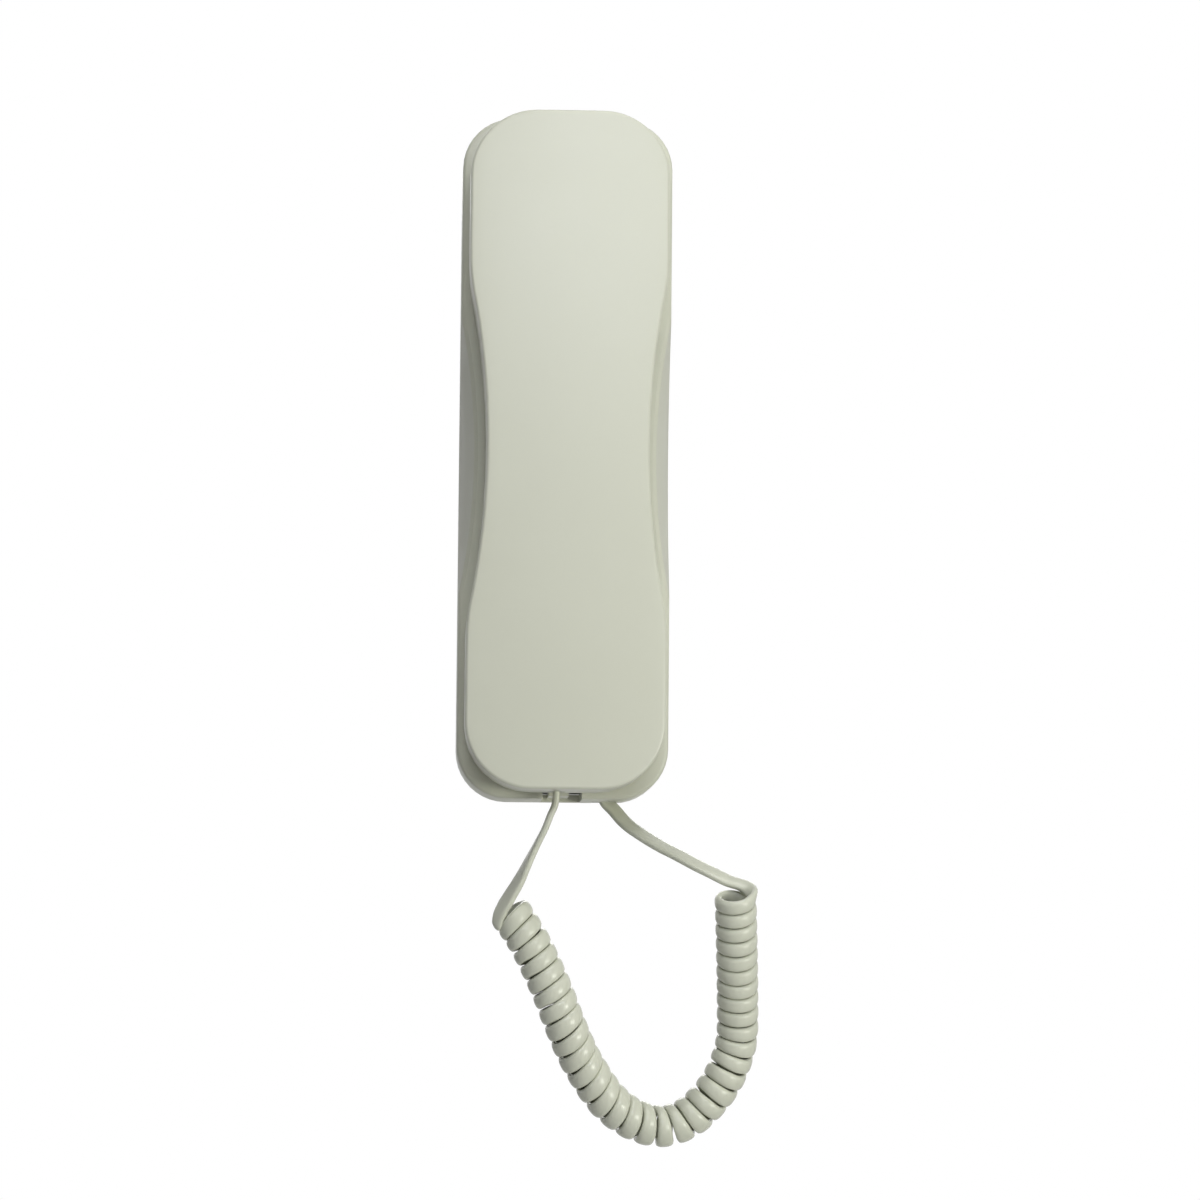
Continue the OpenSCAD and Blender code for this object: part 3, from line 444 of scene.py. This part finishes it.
def shell_side():
    corner_x, corner_z = SHELL_W / 2 - SHELL_R, SHELL_H / 2 - SHELL_R
    side = []
    for k in range(CORNER_STEPS + 1):
        a = math.pi / 2 * k / CORNER_STEPS
        side.append((corner_x + SHELL_R * math.sin(a), corner_z + SHELL_R * math.cos(a)))
    top, mid = side[-1][1], WAIST_HALF + KINK
    side += [(SHELL_W / 2, top + (mid - top) * k / STRAIGHT_STEPS) for k in range(1, STRAIGHT_STEPS)]
    bend = (waist_x(WAIST_HALF - KINK), WAIST_HALF - KINK)
    for k in range(KINK_STEPS + 1):
        u = k / KINK_STEPS
        side.append((
            (1 - u) ** 2 * SHELL_W / 2 + 2 * u * (1 - u) * SHELL_W / 2 + u * u * bend[0],
            (1 - u) ** 2 * mid + 2 * u * (1 - u) * WAIST_HALF + u * u * bend[1],
        ))
    waist_heights = [bend[1] * (1 - k / WAIST_STEPS) for k in range(1, WAIST_STEPS)]
    side += [(waist_x(z), z) for z in waist_heights]
    return side + [(waist_x(0.0), 0.0)] + [(x, -z) for x, z in reversed(side)]


def crown(x, z, inset):
    return FRONT_TOP - inset - z * z / (2 * CROWN_LONG) - x * x / (2 * CROWN_CROSS)


# The shell's outline runs along the top, down the right, back along the bottom and up the left.
side = shell_side()
rows = len(side)
top_row = [(side[0][0] * (2 * j / (COLUMNS - 1) - 1), side[0][1]) for j in range(COLUMNS)]
loop = (
    top_row
    + side[1:-1]
    + [(x, -z) for x, z in reversed(top_row)]
    + [(-x, z) for x, z in reversed(side[1:-1])]
)
loop_n = len(loop)
loop_out = []
for i in range(loop_n):
    ax, az = loop[i - 1]
    bx, bz = loop[(i + 1) % loop_n]
    d = math.hypot(bx - ax, bz - az)
    loop_out.append((-(bz - az) / d, (bx - ax) / d))


def loop_at(inset):
    return [(x - inset * nx, z - inset * nz) for (x, z), (nx, nz) in zip(loop, loop_out)]


def shell_skin(inset, radius, lip):
    rings = [[(x, -PARTING - PARTING_GAP, z) for x, z in loop_at(inset + lip)]]
    if lip:
        rings.append([(x, -PARTING - lip, z) for x, z in loop_at(inset)])
    for k in range(EDGE_STEPS + 1):
        a = math.pi / 2 * k / EDGE_STEPS
        rings.append([
            (x, -(crown(x, z, inset) - radius * (1 - math.sin(a))), z)
            for x, z in loop_at(inset + radius * (1 - math.cos(a)))
        ])
    return rings


def skin_mesh(verts, faces, rings, flip, inset):
    first = len(verts)
    for ring in rings:
        verts += ring
    start = len(verts)
    last = rings[-1]
    for i in range(1, rows - 1):
        right = last[COLUMNS - 1 + i]
        for j in range(1, COLUMNS - 1):
            x = right[0] * (2 * j / (COLUMNS - 1) - 1)
            verts.append((x, -crown(x, right[2], inset), right[2]))

    def grid(i, j):
        ring = first + (len(rings) - 1) * loop_n
        if i == 0:
            return ring + j
        if i == rows - 1:
            return ring + COLUMNS + rows - 2 + COLUMNS - 1 - j
        if j == COLUMNS - 1:
            return ring + COLUMNS - 1 + i
        if j == 0:
            return ring + loop_n - i
        return start + (i - 1) * (COLUMNS - 2) + j - 1

    made = []
    for r in range(len(rings) - 1):
        a, b = first + r * loop_n, first + (r + 1) * loop_n
        made += [(a + k, b + k, b + (k + 1) % loop_n, a + (k + 1) % loop_n) for k in range(loop_n)]
    for i in range(rows - 1):
        made += [
            (grid(i, j), grid(i + 1, j), grid(i + 1, j + 1), grid(i, j + 1)) for j in range(COLUMNS - 1)
        ]
    faces += [tuple(reversed(f)) for f in made] if flip else made
    return first


shell_verts, shell_faces = [], []
outer_skin = shell_skin(inset=0.0, radius=EDGE_R, lip=PARTING_LIP)
inner_skin = shell_skin(inset=SHELL_WALL, radius=EDGE_R / 2, lip=0.0)
outer_first = skin_mesh(shell_verts, shell_faces, outer_skin, flip=False, inset=0.0)
inner_first = skin_mesh(shell_verts, shell_faces, inner_skin, flip=True, inset=SHELL_WALL)
shell_faces += [
    (outer_first + (k + 1) % loop_n, inner_first + (k + 1) % loop_n, inner_first + k, outer_first + k)
    for k in range(loop_n)
]
shell_mesh = bpy.data.meshes.new("handset_cover")
shell_mesh.from_pydata(shell_verts, [], shell_faces)
shell_mesh.polygons.foreach_set("use_smooth", [True] * len(shell_mesh.polygons))
shell_mesh.materials.append(ivory("handset_plastic", specular=0.5))
shell = bpy.data.objects.new("handset_cover", shell_mesh)
scene.collection.objects.link(shell)
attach(shell, "handset")
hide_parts("handset_outer_shell")


# The curly cord is a flat four-way cord in a soft ivory jacket, set into tight curls by heat.
# It hangs in a U between the handset's lead and the base's lead, and is built only in this resting shape.
JACKET_DARK, JACKET_LIGHT = (0.635, 0.65, 0.535), (0.695, 0.71, 0.595)
jacket, jacket_shader, spot = new_material("cord_jacket", roughness=0.25, specular=0.4)
jacket_waves, jacket_grain = spot.noise(scale=330.0), spot.noise(scale=1200.0)
feed(
    jacket_shader,
    Base_Color=spot.noise(scale=55.0, detail=3.0).tint(JACKET_DARK, JACKET_LIGHT),
    Roughness=0.19 + 0.08 * spot.noise(scale=240.0),
    Normal=(jacket_waves + 0.15 * jacket_grain).bump(strength=0.35, distance=0.00015),
)

# The section is an oval, and its flatness is a power: 1 is an ellipse, and less is squarer.
CORD_WIDTH = 0.0052
CORD_THICK = 0.0023
CURL_FLAT = 0.85
CURL_SIDES, CURL_STEPS, ROUTE_STEPS = 16, 36, 24
COIL_RADIUS = 0.00505
COIL_TURNS = 34.2
THIRD = COIL_TURNS / 3
FRONT = Vector((0.0, -1.0, 0.0))
coil_route = [Vector(p) for p in (
    (-0.0153, -0.0246, -0.1345), (-0.0090, -0.0237, -0.1442), (-0.0031, -0.0226, -0.1562),
    (0.0013, -0.0210, -0.1670), (0.0047, -0.0188, -0.1746), (0.0082, -0.0167, -0.1809),
    (0.0148, -0.0136, -0.1899), (0.0230, -0.0106, -0.1956), (0.0317, -0.0082, -0.1973),
    (0.0397, -0.0077, -0.1941), (0.0464, -0.0087, -0.1872), (0.0502, -0.0098, -0.1805),
    (0.0527, -0.0117, -0.1718), (0.0526, -0.0163, -0.1600), (0.0518, -0.0235, -0.1454),
    (0.0508, -0.0301, -0.1288),
)]

# How far each curl leans sideways and tips forward, by its turn along the cord.
LEAN = (
    (0, 0.34), (0.5, 0.02), (1, 0.12), (2, 0), (THIRD, 0.16), (2 * THIRD, -0.23), (COIL_TURNS, -0.04),
)
TIP = ((0.8, 0.12), (2.2, 0.02), (THIRD, -0.16), (2 * THIRD, 0.09), (COIL_TURNS, 0.19))
# The curls stand further apart at the bottom of the U and closest at the base's end.
PACE_MIDDLE, PACE_ENDS = 0.008, 0.013
# Curls nearly touch at the back. Some open at the outer front side, more or less by turns.
SIDE_GAP, FRONT_GAP, OUTER_GAP = 0.00013, 0.00009, 0.00075
OUTER_FRONT, OUTER_POWER, OUTER_PACE = math.radians(145), 6, 2.3
OPEN_TURNS = ((1, 0.0), (3, 1.0), (0.66 * COIL_TURNS, 1.0), (0.74 * COIL_TURNS, 0.0))
# The last part of the last curl begins to turn over into the base's lead.
BASE_LEAD_BROAD = Vector((0.6, 0.7, 0.32))
TURN_OVER = ((COIL_TURNS - 0.4, 0.0), (COIL_TURNS, 0.8))
# Directions are taken over a short stretch of the route or of a curl.
AIM_RUN, AIM_TURN = 0.0015, 0.02


def spline(points, steps):
    last = len(points) - 1
    line = []
    for i in range(last):
        a, b = points[max(i - 1, 0)], points[i]
        c, d = points[i + 1], points[min(i + 2, last)]
        for k in range(steps):
            u = k / steps
            line.append(0.5 * (
                2 * b + (c - a) * u + (2 * a - 5 * b + 4 * c - d) * u * u + (3 * b - a - 3 * c + d) * u ** 3
            ))
    line.append(points[last])
    return line


def oval_ring(centre, along, broad, width, thick, sides, flat):
    along = along.normalized()
    u = (broad - broad.dot(along) * along).normalized()
    v = along.cross(u)
    ring = []
    for k in range(sides):
        c, s = math.cos(2 * math.pi * k / sides), math.sin(2 * math.pi * k / sides)
        ring.append(
            centre
            + u * (width / 2 * math.copysign(abs(c) ** flat, c))
            + v * (thick / 2 * math.copysign(abs(s) ** flat, s))
        )
    return ring


def swept(name, rings, material):
    sides = len(rings[0])
    verts = [p for ring in rings for p in ring]
    faces = [tuple(reversed(range(sides)))]
    for r in range(len(rings) - 1):
        a, b = r * sides, (r + 1) * sides
        faces += [(a + k, a + (k + 1) % sides, b + (k + 1) % sides, b + k) for k in range(sides)]
    faces.append(tuple((len(rings) - 1) * sides + k for k in range(sides)))
    mesh = bpy.data.meshes.new(name)
    mesh.from_pydata(verts, [], faces)
    mesh.polygons.foreach_set("use_smooth", [False] + [True] * (len(faces) - 2) + [False])
    # Sharp rims keep the end faces from shading the sides next to them.
    ends = (set(faces[0]), set(faces[-1]))
    for edge in mesh.edges:
        edge.use_edge_sharp = any(end.issuperset(edge.vertices) for end in ends)
    mesh.materials.append(material)
    piece = bpy.data.objects.new(name, mesh)
    scene.collection.objects.link(piece)
    return piece


coil_line = spline(coil_route, ROUTE_STEPS)
coil_run = [0.0]
for a, b in zip(coil_line, coil_line[1:]):
    coil_run.append(coil_run[-1] + (b - a).length)
coil_length = coil_run[-1]


def coil_at(run):
    high = min(max(bisect.bisect_right(coil_run, run), 1), len(coil_run) - 1)
    low = high - 1
    u = (run - coil_run[low]) / (coil_run[high] - coil_run[low])
    return coil_line[low] * (1 - u) + coil_line[high] * u


def coil_along(run):
    run = min(max(run, 0.0), coil_length)
    return (coil_at(min(run + AIM_RUN, coil_length)) - coil_at(max(run - AIM_RUN, 0.0))).normalized()


def coil_run_of(turn):
    u = turn / COIL_TURNS
    return coil_length * (u + PACE_MIDDLE * math.sin(math.pi * u) - PACE_ENDS * math.sin(2 * math.pi * u))


def between(place, steps):
    for (a, low), (b, high) in zip(steps, steps[1:]):
        if place <= b:
            return low + (high - low) * max(0.0, place - a) / (b - a)
    return steps[-1][1]


def curl_angle(turn):
    return math.pi + 2 * math.pi * turn


def curl_point(turn):
    angle = curl_angle(turn)
    lean, tip = between(turn, LEAN), between(turn, TIP)
    run = coil_run_of(turn) - COIL_RADIUS * (lean * math.cos(angle) + tip * math.sin(angle))
    along = coil_along(run)
    inner = FRONT.cross(along).normalized()
    front = along.cross(inner)
    return coil_at(run) + COIL_RADIUS * (math.cos(angle) * inner + math.sin(angle) * front)


def curl_gap(turn):
    angle = curl_angle(turn)
    outer_front = max(0.0, math.cos(angle - OUTER_FRONT)) ** OUTER_POWER
    pull = 0.5 + 0.5 * math.sin(OUTER_PACE * turn)
    opened = outer_front * pull * between(turn, OPEN_TURNS)
    return SIDE_GAP + FRONT_GAP * math.sin(angle) + OUTER_GAP * opened


def curl_width(turn):
    along = coil_along(coil_run_of(turn))
    here = curl_point(turn)
    neighbours = [curl_point(t) for t in (turn - 1, turn + 1) if 0 <= t <= COIL_TURNS]
    room = min(abs((point - here).dot(along)) for point in neighbours)
    return min(CORD_WIDTH, room - curl_gap(turn))


def curl_broad(turn):
    return coil_along(coil_run_of(turn)).lerp(BASE_LEAD_BROAD, between(turn, TURN_OVER))


def curl_ring(centre, along, turn):
    return oval_ring(centre, along, curl_broad(turn), curl_width(turn), CORD_THICK, CURL_SIDES, CURL_FLAT)


first_along = (curl_point(AIM_TURN) - curl_point(0.0)).normalized()
last_along = (curl_point(COIL_TURNS) - curl_point(COIL_TURNS - AIM_TURN)).normalized()
coil_start = curl_point(0.0) - CORD_THICK / 2 * first_along
coil_end = curl_point(COIL_TURNS) + CORD_THICK / 2 * last_along
curl_count = int(COIL_TURNS * CURL_STEPS)
turns = [COIL_TURNS * k / curl_count for k in range(curl_count + 1)]
curl_rings = [curl_ring(coil_start, first_along, 0.0)]
for turn in turns:
    along = curl_point(min(turn + AIM_TURN, COIL_TURNS)) - curl_point(max(turn - AIM_TURN, 0.0))
    curl_rings.append(curl_ring(curl_point(turn), along, turn))
curl_rings.append(curl_ring(coil_end, last_along, COIL_TURNS))
coil = swept("curly_cord_jacket", curl_rings, jacket)
coil_path = [coil_start] + [curl_point(t) for t in turns] + [coil_end]
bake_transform(coil)
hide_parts("curly_cord")


def path_length(path):
    return sum((b - a).length for a, b in zip(path, path[1:]))


path_length(coil_path)


# The handset's lead is the straight end of the same cord. It leaves the grommet in the handset's
# lower end edge-on, hangs to the left and turns its broad face out as it runs into the first curl.
LEAD_THICK = 0.9 * CORD_THICK
LEAD_FLAT = 0.6
LEAD_SIDES, LEAD_STEPS = 24, 6
RUN_IN = ((0.75, 0.0), (0.96, 1.0))
HANDSET_TWIST = ((0.3, 0.0), (0.57, 0.39), (0.8, 0.5), (1.0, 1.0))
HANDSET_STRAIGHT = 0.0014
handset_route = [Vector(p) for p in (
    (-0.0020, -0.0296, -0.0978), (-0.0020, -0.0296, -0.1008), (-0.0024, -0.0296, -0.1038),
    (-0.0036, -0.0296, -0.1066), (-0.0052, -0.0296, -0.1107), (-0.0069, -0.0296, -0.1141),
    (-0.0086, -0.0296, -0.1175), (-0.0102, -0.0296, -0.1208), (-0.0118, -0.0295, -0.1242),
    (-0.0133, -0.0293, -0.1271), (-0.0148, -0.0290, -0.1296), (-0.0162, -0.0288, -0.1320),
    (-0.0174, -0.0285, -0.1341), (-0.0183, -0.0280, -0.1363),
)] + [coil_start - HANDSET_STRAIGHT * first_along, coil_start]


def lead(name, route, broad_from, broad_to, twist, end_along, end_width):
    line = spline(route, LEAD_STEPS)
    last = len(line) - 1
    rings = []
    for k, point in enumerate(line):
        u = k / last
        along = end_along if k == last else line[k + 1] - line[max(k - 1, 0)]
        broad = broad_from.lerp(broad_to, between(u, twist))
        curled = between(u, RUN_IN)
        width = CORD_WIDTH + (end_width - CORD_WIDTH) * curled
        thick = LEAD_THICK + (CORD_THICK - LEAD_THICK) * curled
        flat = LEAD_FLAT + (CURL_FLAT - LEAD_FLAT) * curled
        rings.append(oval_ring(point, along, broad, width, thick, LEAD_SIDES, flat))
    return swept(name, rings, jacket), line


handset_cord, handset_path = lead(
    "handset_lead_jacket", handset_route, broad_from=FRONT, broad_to=curl_broad(0.0),
    twist=HANDSET_TWIST, end_along=first_along, end_width=curl_width(0.0),
)
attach(handset_cord, "handset")
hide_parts("handset_lead")
path_length(handset_path)


# The base's lead leaves a grommet at the base's lower edge, near the wall, and runs out to the right
# to the back of the coil's open end. Its broad face looks up, and it turns over into the last curl.
BASE_STRAIGHT = 0.0022
base_route = [Vector(p) for p in (
    (0.0130, -0.0046, -0.0991), (0.0140, -0.0046, -0.1015), (0.0164, -0.0060, -0.1041),
    (0.0186, -0.0078, -0.1068), (0.0210, -0.0098, -0.1091), (0.0236, -0.0116, -0.1110),
    (0.0270, -0.0138, -0.1133), (0.0305, -0.0160, -0.1154), (0.0339, -0.0181, -0.1172),
    (0.0371, -0.0201, -0.1190), (0.0405, -0.0220, -0.1209), (0.0437, -0.0235, -0.1225),
    (0.0468, -0.0246, -0.1241),
)] + [coil_end + BASE_STRAIGHT * last_along, coil_end]
base_cord, base_path = lead(
    "base_lead_jacket", base_route, broad_from=BASE_LEAD_BROAD, broad_to=curl_broad(COIL_TURNS),
    twist=RUN_IN, end_along=-last_along, end_width=curl_width(COIL_TURNS),
)
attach(base_cord, "base")
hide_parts("base_lead")
path_length(base_path)
